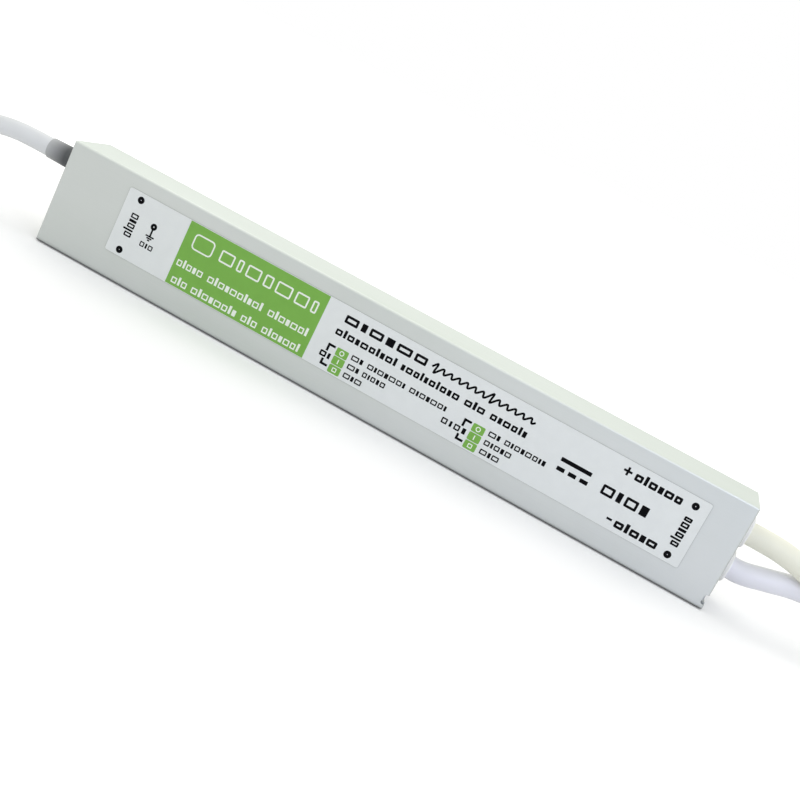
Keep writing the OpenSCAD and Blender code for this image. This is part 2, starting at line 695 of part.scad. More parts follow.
module fuse() color("#d9dcd8") {
    translate([0, (fuse_d - fuse_cap_d) / 2, 0]) lying(fuse_x, fuse_z, fuse_d, fuse_l);
    for (side = [-1, 1]) {
        lying(fuse_x + side * (fuse_l - fuse_cap_l) / 2, fuse_z, fuse_cap_d, fuse_cap_l);
        bent_pin(fuse_pins[side > 0 ? 1 : 0], -side, lift + fuse_cap_d / 2);
    }
}

module thermistor() color("#3d5d3f")
    disc(fuse_x, lower_row(thermistor_d), thermistor_d, thermistor_t, thermistor_pins);

module x_capacitor() color("#d8b53c") {
    on_board(station_x("x capacitor"), mid_z, x_cap_w, x_cap_l, x_cap_h);
    pins(x_cap_pins, pin_d);
}

// Places a solid of revolution on the ring choke's axis, which stands on the board
module on_ring() {
    translate([station_x("filter choke"), board_y - ring_wire - ring_t / 2, mid_z])
        rotate([90, 0, 0]) children();
}

module filter_choke_core() color("#4a4c4f") on_ring() rotate_extrude()
    translate([ring_bore / 2, -ring_t / 2]) square([(ring_d - ring_bore) / 2, ring_t]);

// Space of the two windings, with the part of the core that they cover
module winding_space() {
    for (start = [-ring_angle / 2, 180 - ring_angle / 2])
        on_ring() rotate([0, 0, start]) rotate_extrude(angle = ring_angle)
            translate([ring_bore / 2 - ring_wire, -ring_t / 2 - ring_wire])
                square([(ring_d - ring_bore) / 2 + 2 * ring_wire, ring_t + 2 * ring_wire]);
}

module filter_choke_windings() color("#b5713a") {
    difference() {
        winding_space();
        filter_choke_core();
    }
    pins(ring_pins, ring_wire / 2);
}

// Flat moulded rectifier on edge, with one bevelled corner and a row of four pins
module bridge_rectifier() color("#2b2b2e") {
    top = board_y - bridge_h;
    low = mid_z - bridge_w / 2;
    high = mid_z + bridge_w / 2;
    along_x(station_x("bridge") - bridge_t / 2, bridge_t) polygon([
        [board_y, low], [board_y, high], [top + bridge_bevel, high], [top, high - bridge_bevel],
        [top, low]
    ]);
    pins(bridge_pins, pin_d);
}

module bulk_capacitor() color("#30405e") can(bulk_x, bulk_z, bulk_d, bulk_l, -1);

// Moulded chip with a row of bent legs along each side and a notch in one end
module dip(x, z, l, w, h) {
    difference() {
        on_board(x, z, l, w, h);
        translate([x - l / 2, board_y - h - past, z]) rotate([-90, 0, 0])
            cylinder(d = dip_notch_d, h = dip_notch_t + past);
    }
    for (s = dip_row(l), side = [0, 1])
        translate([x + s - dip_leg_w / 2, board_y - h / 2, z]) mirror([0, 0, side]) {
            cube([dip_leg_w, dip_leg_t, w / 2 + dip_reach]);
            translate([0, 0, w / 2 + dip_reach - dip_leg_t])
                cube([dip_leg_w, h / 2 + board_t + pin_tail, dip_leg_t]);
        }
}

module controller_chip() color("#2b2b2e") dip(chip_x, chip_z, chip_l, chip_w, chip_h);

// Coated resistor, thicker at both ends, with a bent pin at each
module snubber_resistor() color("#9fb7c2") {
    end_r = resistor_d / 2;
    waist_r = end_r - resistor_waist;
    slope_l = resistor_end_l + resistor_waist;
    turned(resistor_x, resistor_z, resistor_d, resistor_l, 1) polygon([
        [0, 0], [waist_r, 0], [end_r, resistor_waist], [end_r, resistor_end_l], [waist_r, slope_l],
        [waist_r, resistor_l - slope_l], [end_r, resistor_l - resistor_end_l],
        [end_r, resistor_l - resistor_waist], [waist_r, resistor_l], [0, resistor_l]
    ]);
    for (side = [-1, 1])
        bent_pin(resistor_pins[side > 0 ? 1 : 0], -side, lift + end_r);
}

// Moulded power package: tab flat on its thermal pad, three legs bent back through the board
module power_package(x) {
    leg_y = pad_y + package_t / 2;
    difference() {
        block([x - package_w / 2, pad_y, package_z],
            [x + package_w / 2, pad_y + tab_t, package_z + package_l + tab_l]);
        translate([x, pad_y - past, package_z + package_l + tab_l / 2])
            rotate([-90, 0, 0]) cylinder(d = tab_hole_d, h = tab_t + 2 * past);
    }
    block([x - package_w / 2, pad_y, package_z],
        [x + package_w / 2, pad_y + package_t, package_z + package_l]);
    for (k = [-1:1]) translate([x + k * leg_pitch - leg_w / 2, leg_y, package_z - leg_out]) {
        cube([leg_w, leg_t, leg_out]);
        cube([leg_w, board_back_y + pin_tail - leg_y, leg_t]);
    }
}

module switching_transistor() color("#2b2b2e") power_package(station_x("transistor"));

module output_diode() color("#2b2b2e") power_package(station_x("diode"));

// Soft pad between a power package and the label wall
module thermal_pad(x) {
    block([x - package_w / 2 - pad_margin, front_in, package_z - pad_margin],
        [x + package_w / 2 + pad_margin, pad_y, package_z + package_l + tab_l + pad_margin]);
}

module transistor_pad() color("#c9b8c4") thermal_pad(station_x("transistor"));

module diode_pad() color("#c9b8c4") thermal_pad(station_x("diode"));

// Box centred on the transformer's core
module at_core(l, h, w) {
    translate([transformer_x, ferrite_mid_y, mid_z]) cube([l, h, w], center = true);
}

module transformer_core() color("#3a3b3e") difference() {
    at_core(ferrite_l, ferrite_t, ferrite_w);
    for (side = [-1, 1])
        translate([0, 0, side * (middle_leg + ferrite_window_w) / 2])
            at_core(ferrite_window_l, ferrite_t + 2 * past, ferrite_window_w);
}

module transformer_bobbin() color("#e6e2d6") {
    difference() {
        union() {
            at_core(bobbin_l, hub_h, hub_w);
            for (side = [-1, 1]) {
                translate([side * (bobbin_l - bobbin_wall) / 2, 0, 0])
                    at_core(bobbin_wall, flange_h, flange_w);
                on_board(transformer_x + side * foot_x, mid_z,
                    (ferrite_l - bobbin_l) / 2 + bobbin_wall, ferrite_w, bobbin_foot_h);
            }
        }
        at_core(ferrite_l, ferrite_t + 2 * bobbin_clear, middle_leg + 2 * bobbin_clear);
    }
    pins(transformer_pins, bobbin_foot_h / 2);
}

module transformer_winding() color("#e2c04a") difference() {
    at_core(bobbin_l - 2 * bobbin_wall, winding_h, winding_w);
    at_core(bobbin_l, hub_h, hub_w);
}

// Whole space that the transformer takes in the potting
module transformer_space() {
    at_core(ferrite_l, ferrite_t, ferrite_w);
    at_core(bobbin_l, flange_h, flange_w);
    on_board(transformer_x, mid_z, ferrite_l, ferrite_w, bobbin_foot_h + bobbin_clear);
    pins(transformer_pins, bobbin_foot_h / 2);
}

module optocoupler() color("#2b2b2e") dip(opto_x, opto_z, opto_l, opto_w, opto_h);

module y_capacitor() color("#4d7fb8")
    disc(opto_x, upper_row(y_cap_d), y_cap_d, y_cap_t, y_cap_pins);

module output_capacitors() color("#30405e")
    for (z = out_cap_rows) can(out_cap_x, z, out_cap_d, out_cap_l, 1);

// Places a solid of revolution on the drum choke's axis, which stands on the board
module on_drum() {
    translate([station_x("output choke"), board_y, mid_z]) rotate([90, 0, 0]) children();
}

module output_choke_core() color("#4a4c4f") {
    on_drum() {
        cylinder(d = drum_d, h = drum_flange_t);
        cylinder(d = drum_waist_d, h = drum_h);
        translate([0, 0, drum_h - drum_flange_t]) cylinder(d = drum_d, h = drum_flange_t);
    }
    pins(drum_pins, drum_flange_t / 2);
}

module output_choke_winding() color("#b5713a") on_drum() translate([0, 0, drum_flange_t]) difference() {
    cylinder(d = drum_d - 2 * drum_inset, h = drum_h - 2 * drum_flange_t);
    cylinder(d = drum_waist_d, h = drum_h - 2 * drum_flange_t);
}

// Cast resin between the end caps, round everything inside
module potting() color("#8f938f") difference() {
    along_x(-cap_in_x, 2 * cap_in_x) hollow(0);
    block([-board_l / 2, slot_front_y, 0], [board_l / 2, slot_back_y, housing_h]);
    block([-board_l / 2, board_y, mid_z - inner_h / 2 + rib_h],
        [board_l / 2, board_back_y, mid_z + inner_h / 2 - rib_h]);
    insulating_film();
    input_bush();
    positive_bush();
    negative_bush();
    input_wires();
    output_wires();
    fuse();
    thermistor();
    x_capacitor();
    filter_choke_core();
    winding_space();
    pins(ring_pins, ring_wire / 2);
    bridge_rectifier();
    bulk_capacitor();
    controller_chip();
    snubber_resistor();
    switching_transistor();
    transistor_pad();
    transformer_space();
    optocoupler();
    y_capacitor();
    output_diode();
    diode_pad();
    output_capacitors();
    output_choke_core();
    output_choke_winding();
}

housing();
label();
input_end_cap();
output_end_cap();
input_bush();
positive_bush();
negative_bush();
input_cord();
positive_lead();
negative_lead();
input_line_core();
input_neutral_core();
input_earth_core();
input_core_tips();
positive_core();
negative_core();
output_core_tips();
potting();
insulating_film();
circuit_board();
input_wires();
output_wires();
fuse();
thermistor();
x_capacitor();
filter_choke_core();
filter_choke_windings();
bridge_rectifier();
bulk_capacitor();
snubber_resistor();
controller_chip();
switching_transistor();
transistor_pad();
transformer_core();
transformer_bobbin();
transformer_winding();
optocoupler();
y_capacitor();
output_diode();
diode_pad();
output_capacitors();
output_choke_core();
output_choke_winding();
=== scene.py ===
"""Dresses a slim waterproof LED driver: finishes, printed label, cords, floor, light and camera."""

import json
import math

import bmesh
import bpy
from mathutils import Matrix, Vector


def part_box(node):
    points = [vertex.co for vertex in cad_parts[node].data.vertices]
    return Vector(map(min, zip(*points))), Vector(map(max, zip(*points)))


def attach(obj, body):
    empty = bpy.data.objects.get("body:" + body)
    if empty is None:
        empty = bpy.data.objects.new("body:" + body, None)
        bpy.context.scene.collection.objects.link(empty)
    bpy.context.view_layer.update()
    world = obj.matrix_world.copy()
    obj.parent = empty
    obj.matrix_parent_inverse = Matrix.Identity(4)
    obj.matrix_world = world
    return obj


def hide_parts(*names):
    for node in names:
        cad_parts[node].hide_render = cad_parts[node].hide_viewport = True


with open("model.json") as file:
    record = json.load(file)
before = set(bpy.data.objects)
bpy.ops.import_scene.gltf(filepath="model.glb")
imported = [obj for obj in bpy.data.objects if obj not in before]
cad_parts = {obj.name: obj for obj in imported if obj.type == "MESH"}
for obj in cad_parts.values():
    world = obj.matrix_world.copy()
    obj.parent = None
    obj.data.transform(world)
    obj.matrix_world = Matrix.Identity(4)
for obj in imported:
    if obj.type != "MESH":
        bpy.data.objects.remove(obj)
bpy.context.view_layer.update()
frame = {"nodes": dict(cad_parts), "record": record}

# Sizes on the part are written in millimetres, and the stage around it in metres
MM = 0.001

# Camera: where the photograph was taken from, and how it was held
LENS = 56.77
SENSOR = 36.0
CLIP_START = 10 * MM
CAMERA_PLACE = Vector((62.73, -326.79, 86.74)) * MM
CAMERA_YAW = math.radians(9.50)
CAMERA_PITCH = math.radians(-13.44)
CAMERA_ROLL = math.radians(26.64)

# Cords: thickness, routes from the bush's face (outwards, backwards, up), and how finely they are drawn
INPUT_D = 5.4
INPUT_ROUTE = [
    (0, 0, 0), (5, 0, 0), (12, 0, -0.3), (19, 0.2, -1.6), (26, 0.8, -4.2), (33, 1.6, -7.6),
    (40, 2.4, -11.4), (47, 3, -14.8), (54, 3.2, -17.6), (61, 3, -19.4), (68, 2.4, -20.1),
    (76, 1.4, -20.2), (85, 0.2, -20.2), (94, -1, -20.2), (103, -1.5, -20.2), (112, -1.5, -20.2),
]
LEAD_D = 6.2
POSITIVE_ROUTE = [
    (0, 0, 0), (3, 0, 0), (10, -0.2, -0.3), (17, -0.8, -1.6), (24, -1.8, -4),
    (31, -2.8, -7.2), (38, -3.4, -10.8), (45, -3.8, -14.2), (52, -4, -16.8),
    (60, -4.2, -18), (68, -4.4, -18.1), (77, -4.6, -18.1), (86, -5, -18.1), (95, -5.2, -18.1),
    (105, -5.2, -18.1), (115, -5.2, -18.1), (122, -5.2, -18.1),
]
NEGATIVE_ROUTE = [
    (0, 0, 0), (3, 0, 0), (10, 0.9, 1.4), (17, 2.5, 2.7), (24, 4.1, 2.9), (31, 5.3, 2),
    (38, 5.9, 0.1), (45, 5.8, -2.5), (52, 5.4, -5.2), (60, 4.9, -7.3), (68, 4.5, -7.9),
    (77, 4.3, -7.9), (86, 4.5, -7.9), (95, 4.6, -7.9), (105, 4.6, -7.9), (115, 4.6, -7.9),
    (122, 4.6, -7.9),
]
CORD_ROUND_STEPS = 10
CORD_ROUTE_STEPS = 8

# Floor: half width, height, colour, and what is added for the camera from near the part to far away
FLOOR_HALF = 6.0
FLOOR_Z = -0.25 * MM
FLOOR_COLOUR = (0.85, 0.85, 0.85)
LIFT_REACH = (0.085, 0.4)
LIFT = (0.13, 0.7)

# World: its light, how bright shiny surfaces see it around and overhead, and how high that changes
WORLD_COLOUR = (0.59, 0.61, 0.555)
WORLD_SHINE = (1.174, 1.215, 1.118)
WORLD_SHINE_ABOVE = (1.27, 1.29, 1.22)
SHINE_RISE = (0.72, 0.95)

# Finishes: a noise's spread, a moulded grain's size and depth, grains per patch, stray of roughness
NOISE_SPREAD = (0.3, 0.7)
GRAIN_SIZE = 0.6
GRAIN_DEPTH = 0.01
PATCH = 12
ROUGHNESS_STRAY = 0.05

# A wave texture of scale 1 repeats after this length
WAVE_PERIOD = math.pi / 10

# Where the boot at the input starts to go pale, outwards from the tube's end
PALE_FROM = 5.0

# Label: how far it is askew, thickness of ink, sharpest corner, and how far a line may be mitred
LABEL_TILT = math.radians(0.27)
INK = 0.02
SHARP_RADIUS = 0.05
MITRE_LIMIT = 0.5

# Marks of the print: widths and kinds along a word, the low ones' height, and the solid ones' corners
MARKS = (
    (1.0, "box"), (0.4, "bar"), (1.0, "box"), (0.6, "block"),
    (1.1, "box"), (0.9, "box"), (0.4, "bar"), (0.6, "block"),
)
LOW_MARK = 0.74
MARK_RADIUS = 0.1

# Print is laid out in millimetres from the label's middle: u towards the output end, and v up
# Boxes are u0, u1, v0, v1, and words are u0, u1 and a number of marks

# Green field: its box, a sign, a heading, and rows of words by their v
FIELD = (-67.6, -23.9, -9.2, 9.2)
FIELD_SIGN = (-64.9, -58.5, 2.3, 6.9)
HEADING_WORD = (-56.3, -25.8, 7)
HEADING_V = (2.9, 6.3)
FIELD_ROWS = {
    -2.4: ((-66.7, -58.6, 5), (-56.8, -39.6, 10), (-37.6, -25.4, 7)),
    -7.3: ((-66.2, -61.4, 3), (-59.8, -45.6, 8), (-43.8, -39.0, 3), (-37.2, -25.7, 7)),
}

# Both ends: dots, and a word at each that reads upwards, from v0 to v1
END_DOTS = ((-83.1, 7.3), (-83.3, -7.6), (83.7, 6.9), (83.6, -7.4))
INPUT_END_U = -83.3
INPUT_END_WORD = (-3.4, 3.3, 5)
OUTPUT_END_U = 83.4
OUTPUT_END_WORD = (-4.7, 3.6, 6)

# Earth sign: a dot, a stem, bars by half length and v, half their thickness, and a word below
EARTH_U = -76.7
EARTH_DOT_V = 2.5
EARTH_STEM_V = (1.6, -0.3)
EARTH_BARS = ((1.3, -0.4), (0.8, -0.95), (0.35, -1.5))
EARTH_BAR_HALF = 0.2
EARTH_WORD = (-78.6, -74.6, 3)
EARTH_WORD_V = -3.2

# Titles: a word, a flourish beside it, and words below that also say with which mark they start
TITLE_WORD = (-17.8, 6.8, 6)
TITLE_V = 6.0
FLOURISH_U = (8.4, 38.9)
FLOURISH_V = 5.9
SUBTITLE_V = 2.1
SUBTITLE_WORDS = ((-18.7, -0.4, 10, 0), (1.2, 18.4, 10, 3), (20.2, 26.0, 3, 0), (27.8, 38.3, 6, 2))

# Ratings: size of a square, v of words and squares, left edge and words of each block, and brackets
SQUARE_U = 3.5
SQUARE_V = 2.26
RATING_ROWS = ((-2.4, -2.9), (-5.0, -5.35), (-7.6, -7.8))
INPUT_SQUARES = -16.3
INPUT_RATINGS = (
    ((-11.8, -8.4, 2), (-6.9, 4.4, 7), (5.9, 16.8, 7)),
    ((-11.8, -8.4, 2), (-7.2, -0.4, 5)),
    ((-11.8, -6.35, 3),),
)
OUTPUT_SQUARES = 24.9
OUTPUT_RATINGS = (
    ((29.5, 32.8, 2), (34.2, 46.0, 8)),
    ((29.5, 37.3, 5),),
    ((29.5, 35.0, 3),),
)
BRACKET_ARMS = ((-2.2, -4.1), (-7.7, -6.3))
BRACKET_U = (0.5, 2.4)
BRACKET_WORD_V = -5.2
INPUT_WORD = (-20.2, -17.1, 2)
OUTPUT_WORD = (16.9, 24.0, 4)

# Output end: direct current sign, a bold word, and the two poles by half length and half thickness
CURRENT_U = (48.9, 57.6)
CURRENT_V = (0.5, 1.6)
DASH = 2.2
DASH_PITCH = 3.3
DASH_V = (-2.1, -1.0)
BOLD_WORD = (61.4, 74.4, 4)
BOLD_V = -0.6
PLUS = (65.05, 6.5)
PLUS_HALF = 1.15
PLUS_WORD = (67.2, 80.3, 6)
MINUS = (66.75, -6.7)
MINUS_HALF = 0.75
MINUS_WORD = (68.4, 80.3, 5)
POLE_HALF = 0.3


def link(obj):
    """Puts a new object into the scene."""
    bpy.context.scene.collection.objects.link(obj)
    return obj


def make_camera():
    """Camera at the photograph's place, held askew as there."""
    data = bpy.data.cameras.new("camera")
    data.lens = LENS
    data.sensor_width = SENSOR
    data.clip_start = CLIP_START
    camera = link(bpy.data.objects.new("camera", data))
    turn = (
        Matrix.Rotation(CAMERA_YAW, 4, "Z")
        @ Matrix.Rotation(math.radians(90) + CAMERA_PITCH, 4, "X")
        @ Matrix.Rotation(CAMERA_ROLL, 4, "Z")
    )
    camera.matrix_world = Matrix.Translation(CAMERA_PLACE) @ turn
    bpy.context.scene.camera = camera


def shader(name):
    """New material with its principled shader and a place in the object's own metres."""
    material = bpy.data.materials.new(name)
    material.use_nodes = True
    nodes = material.node_tree.nodes
    place = nodes.new("ShaderNodeTexCoord").outputs["Object"]
    return material, nodes["Principled BSDF"], place


def node(owner, kind, links=(), **values):
    """New node of a material or world: values set its properties or sockets, links feed its sockets."""
    made = owner.node_tree.nodes.new(kind)
    for key, value in values.items():
        if hasattr(made, key):
            setattr(made, key, value)
        else:
            made.inputs[key].default_value = value
    for key, source in dict(links).items():
        owner.node_tree.links.new(source, made.inputs[key])
    return made


def compute(material, operation, *terms):
    """Number worked out from others, which are sockets or plain numbers."""
    made = node(material, "ShaderNodeMath", operation=operation)
    for socket, term in zip(made.inputs, terms):
        if isinstance(term, (int, float)):
            socket.default_value = term
        else:
            material.node_tree.links.new(term, socket)
    return made.outputs["Value"]


def map_range(material, value, source, target):
    """Number that runs through the target's two ends as a value runs through the source's."""
    made = node(material, "ShaderNodeMapRange", {"Value": value})
    for key, end in zip(("From Min", "From Max", "To Min", "To Max"), (*source, *target)):
        made.inputs[key].default_value = end
    return made.outputs["Result"]


def between(owner, fac, low, high, start=NOISE_SPREAD[0], end=NOISE_SPREAD[1]):
    """Colour that runs from one to the other as fac goes from start to end."""
    ramp = node(owner, "ShaderNodeValToRGB", {"Fac": fac})
    for stop, position, colour in zip(ramp.color_ramp.elements, (start, end), (low, high)):
        stop.position = position
        stop.color = (*colour, 1)
    return ramp.outputs["Color"]


def grain(material, place, size, stretch=(1, 1, 1), detail=3.0):
    """Noise whose grains are about so many millimetres across, drawn out along the axes by stretch."""
    spread = node(material, "ShaderNodeMapping", {"Vector": place})
    spread.inputs["Scale"].default_value = [1 / s for s in stretch]
    noise = node(material, "ShaderNodeTexNoise", {"Vector": spread.outputs["Vector"]},
                 Scale=1 / (size * MM), Detail=detail)
    return noise.outputs["Fac"]


def set_input(material, bsdf, key, source):
    """Feeds one of the principled shader's sockets."""
    material.node_tree.links.new(source, bsdf.inputs[key])


def set_roughness(material, bsdf, fac, low, high):
    """Roughness that runs from low to high as a noise goes through its spread."""
    set_input(material, bsdf, "Roughness", map_range(material, fac, NOISE_SPREAD, (low, high)))


def bump(material, bsdf, height, depth):
    """Relief so many millimetres deep."""
    made = node(material, "ShaderNodeBump", {"Height": height}, Distance=depth * MM)
    set_input(material, bsdf, "Normal", made.outputs["Normal"])


def moulded(material, bsdf, place, roughness, size=GRAIN_SIZE, depth=GRAIN_DEPTH):
    """Fine relief, with a roughness that strays a little along with it."""
    fine = grain(material, place, size)
    set_roughness(material, bsdf, fine, roughness - ROUGHNESS_STRAY, roughness + ROUGHNESS_STRAY)
    bump(material, bsdf, fine, depth)


def shade(colour, factor):
    """Colour made lighter or darker."""
    return tuple(min(1.0, c * factor) for c in colour)


def plain_finish(name, colour, roughness, size=GRAIN_SIZE, depth=GRAIN_DEPTH, vary=0.06, gloss=0.5):
    """Moulded, dipped or coated surface: fine relief, and a little change in colour and gloss."""
    material, bsdf, place = shader(name)
    bsdf.inputs["Specular IOR Level"].default_value = gloss
    patches = grain(material, place, PATCH * size)
    tint = between(material, patches, shade(colour, 1 - vary), shade(colour, 1 + vary))
    set_input(material, bsdf, "Base Color", tint)
    moulded(material, bsdf, place, roughness, size, depth)
    return material


def paler_along(name, darker, pale, start, end, roughness):
    """Rubber whose colour turns paler from one place along the part to another."""
    material, bsdf, place = shader(name)
    along = node(material, "ShaderNodeSeparateXYZ", {"Vector": place}).outputs["X"]
    paling = map_range(material, along, (start, end), NOISE_SPREAD)
    set_input(material, bsdf, "Base Color", between(material, paling, darker, pale))
    moulded(material, bsdf, place, roughness)
    return material


def from_middle(material, place, solid):
    """Place measured from the middle of a solid of the frame, as X, Y and Z."""
    low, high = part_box(solid)
    away = node(material, "ShaderNodeVectorMath", {0: place}, operation="SUBTRACT")
    away.inputs[1].default_value = (low + high) / 2
    return node(material, "ShaderNodeSeparateXYZ", {"Vector": away.outputs["Vector"]}).outputs


def striped(name, colour, stripe, solid, roughness):
    """Core insulation in two colours, with two stripes along it."""
    stripes = 2
    edge = (0.28, 0.34)
    material, bsdf, place = shader(name)
    away = from_middle(material, place, solid)
    angle = compute(material, "ARCTAN2", away["Y"], away["Z"])
    swing = compute(material, "SINE", compute(material, "MULTIPLY", angle, stripes))
    set_input(material, bsdf, "Base Color", between(material, swing, colour, stripe, *edge))
    moulded(material, bsdf, place, roughness)
    return material


def stranded(name, colour, strand, depth):
    """Tinned strands that lie side by side along the cord, with painted shade in the grooves between
    them.
    """
    material, bsdf, place = shader(name)
    bsdf.inputs["Metallic"].default_value = 1.0
    strands = grain(material, place, strand, stretch=(60, 1, 1), detail=0.0)
    # Painted shade: the colour darkens in the grooves between strands, where the relief is low
    set_input(material, bsdf, "Base Color", between(material, strands, shade(colour, 0.7), colour))
    set_roughness(material, bsdf, strands, low=0.42, high=0.26)
    bump(material, bsdf, strands, depth)
    return material


def wound(name, colour, pitch, depth):
    """Enamelled wire in turns that are so many millimetres apart, with painted shade in the grooves
    between turns.
    """
    material, bsdf, place = shader(name)
    bsdf.inputs["Metallic"].default_value = 1.0
    wave = node(material, "ShaderNodeTexWave", {"Vector": place}, Scale=WAVE_PERIOD / (pitch * MM))
    turns = wave.outputs["Fac"]
    # Painted shade: the colour darkens in the grooves between turns, where the relief is low
    tint = between(material, turns, shade(colour, 0.45), colour, start=0.0, end=0.6)
    set_input(material, bsdf, "Base Color", tint)
    set_roughness(material, bsdf, turns, low=0.45, high=0.25)
    bump(material, bsdf, turns, depth)
    return material


def banded(name, colour, band, solid, places, width, roughness, metallic=0.0):
    """Body with bands of another colour around it, at places along X from its middle in millimetres."""
    material, bsdf, place = shader(name)
    along = from_middle(material, place, solid)["X"]
    found = 0.0
    for x in places:
        near = compute(material, "COMPARE", along, x * MM, width / 2 * MM)
        found = compute(material, "MAXIMUM", found, near)
    set_input(material, bsdf, "Base Color", between(material, found, colour, band))
    set_input(material, bsdf, "Metallic", map_range(material, found, NOISE_SPREAD, (0.0, metallic)))
    moulded(material, bsdf, place, roughness, size=0.4, depth=0.008)
    return material


def shaded_near_surfaces(material, unshaded, painted_shade, reach):
    """Colour darkened towards a painted shade colour where other surfaces come nearer than so many
    millimetres.
    """
    open_air = node(material, "ShaderNodeAmbientOcclusion", Distance=reach * MM, samples=8)
    mix = node(material, "ShaderNodeMix", {0: open_air.outputs["AO"], 7: unshaded}, data_type="RGBA")
    mix.inputs[6].default_value = (*painted_shade, 1)
    return mix.outputs[2]


def anodised(name, dull, bright, painted_shade):
    """Satin anodised aluminium: blasted grain, faint lines along the extrusion, and painted shade where
    it stands and wherever other surfaces come close.
    """
    material, bsdf, place = shader(name)
    bsdf.inputs["Metallic"].default_value = 1.0
    lines = grain(material, place, size=0.25, stretch=(400, 1, 1))
    blasted = grain(material, place, size=0.12)
    cloud = grain(material, place, size=25, stretch=(3, 1, 1))
    unshaded = between(material, cloud, dull, bright)
    # Painted shade: the colour darkens where the floor, the label's edge or other parts come within reach
    set_input(material, bsdf, "Base Color", shaded_near_surfaces(material, unshaded, painted_shade, reach=1.6))
    set_roughness(material, bsdf, lines, low=0.38, high=0.50)
    bump(material, bsdf, compute(material, "ADD", lines, blasted), depth=0.006)
    return material


# Plain finishes: colour and roughness
PLAIN_LOOKS = {
    "cap_plastic": ((0.55, 0.56, 0.56), 0.5),
    "core_brown": ((0.15, 0.055, 0.022), 0.35),
    "core_blue": ((0.03, 0.11, 0.42), 0.35),
    "potting_resin": ((0.10, 0.105, 0.10), 0.5),
    "insulating_paper": ((0.75, 0.68, 0.45), 0.6),
    "board_green": ((0.02, 0.14, 0.05), 0.3),
    "black_moulding": ((0.02, 0.02, 0.022), 0.5),
    "capacitor_box": ((0.62, 0.40, 0.03), 0.35),
    "ferrite": ((0.035, 0.035, 0.038), 0.6),
    "capacitor_sleeve": ((0.015, 0.03, 0.09), 0.3),
    "disc_blue": ((0.04, 0.12, 0.40), 0.3),
    "disc_green": ((0.03, 0.09, 0.035), 0.35),
    "pad_silicone": ((0.45, 0.33, 0.40), 0.6),
    "bobbin_plastic": ((0.70, 0.66, 0.54), 0.4),
    "winding_tape": ((0.68, 0.42, 0.04), 0.3),
}

# Sheaths, which are more even: colour and roughness
SHEATH_LOOKS = {
    "input_sheath": ((0.74, 0.75, 0.76), 0.45),
    "positive_sheath": ((0.85, 0.845, 0.715), 0.42),
    "negative_sheath": ((0.82, 0.82, 0.87), 0.42),
}

MATERIALS = {
    # The aluminium's painted shade darkens it where it stands on the floor and in its corners
    "anodised_aluminium": anodised(
        "anodised_aluminium", dull=(0.60, 0.625, 0.615), bright=(0.64, 0.66, 0.66),
        painted_shade=(0.05, 0.05, 0.05)),
    "label_film": plain_finish(
        "label_film", (0.77, 0.792, 0.775), 0.42, size=0.3, depth=0.002, vary=0.015),
    "input_rubber": paler_along(
        # The input boot is darker at the tube's end and turns paler outwards
        "input_rubber", darker=(0.08, 0.084, 0.09), pale=(0.47, 0.475, 0.48),
        start=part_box("housing")[0].x - PALE_FROM * MM, end=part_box("input_bush")[0].x, roughness=0.55),
    "output_rubber": plain_finish("output_rubber", (0.885, 0.88, 0.85), 0.5, vary=0.02),
    "core_green_yellow": striped(
        "core_green_yellow", (0.06, 0.30, 0.05), stripe=(0.80, 0.66, 0.04),
        solid="input_earth_core", roughness=0.35),
    "tinned_copper": stranded("tinned_copper", (0.72, 0.73, 0.74), strand=0.3, depth=0.12),
    "copper_wire": wound("copper_wire", (0.70, 0.30, 0.12), pitch=0.6, depth=0.15),
    "resistor_body": banded(
        "resistor_body", (0.25, 0.37, 0.43), band=(0.16, 0.04, 0.02), solid="snubber_resistor",
        places=(-2.6, -1.2, 0.2, 2.4), width=0.7, roughness=0.4),
    "fuse_body": banded(
        "fuse_body", (0.65, 0.65, 0.62), band=(0.62, 0.62, 0.60), solid="fuse",
        places=(-6.0, 6.0), width=5.8, roughness=0.3, metallic=1.0),
}
for look_name, (look_colour, look_roughness) in PLAIN_LOOKS.items():
    MATERIALS[look_name] = plain_finish(look_name, look_colour, look_roughness)
for look_name, (look_colour, look_roughness) in SHEATH_LOOKS.items():
    MATERIALS[look_name] = plain_finish(look_name, look_colour, look_roughness, vary=0.015)

INK_BLACK = plain_finish(
    "ink_black", (0.004, 0.004, 0.005), 0.5, size=0.2, depth=0.001, vary=0.1, gloss=0.03)
INK_GREEN = plain_finish(
    "ink_green", (0.20, 0.44, 0.077), 0.5, size=0.3, depth=0.001, vary=0.03, gloss=0.2)
INK_WHITE = plain_finish(
    "ink_white", (0.86, 0.90, 0.80), 0.5, size=0.3, depth=0.001, vary=0.01, gloss=0.2)


def dress_nodes():
    """Gives every solid of the frame the finish that the record names for it."""
    for part in frame["record"]["subparts"]:
        mesh = frame["nodes"][part["node"]].data
        mesh.materials.clear()
        mesh.materials.append(MATERIALS[part["material_slot"]])


def make_cord(name, solid, bush, side, route, diameter, slot):
    """Round sheathed cord along a route that starts at its bush's face."""
    low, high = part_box(bush)
    exit_point = (low + high) / 2
    exit_point.x = high.x if side > 0 else low.x
    points = [exit_point + Vector((side * x, y, z)) * MM for x, y, z in route]
    curve = bpy.data.curves.new(name, "CURVE")
    curve.dimensions = "3D"
    curve.bevel_depth = diameter / 2 * MM
    curve.bevel_resolution = CORD_ROUND_STEPS
    curve.use_fill_caps = True
    spline = curve.splines.new("BEZIER")
    spline.bezier_points.add(len(points) - 1)
    spline.resolution_u = CORD_ROUTE_STEPS
    for knot, point in zip(spline.bezier_points, points):
        knot.co = point
        knot.handle_left_type = "AUTO"
        knot.handle_right_type = "AUTO"
    curve.materials.append(MATERIALS[slot])
    cord = link(bpy.data.objects.new(name, curve))
    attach(cord, "root")
    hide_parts(solid)


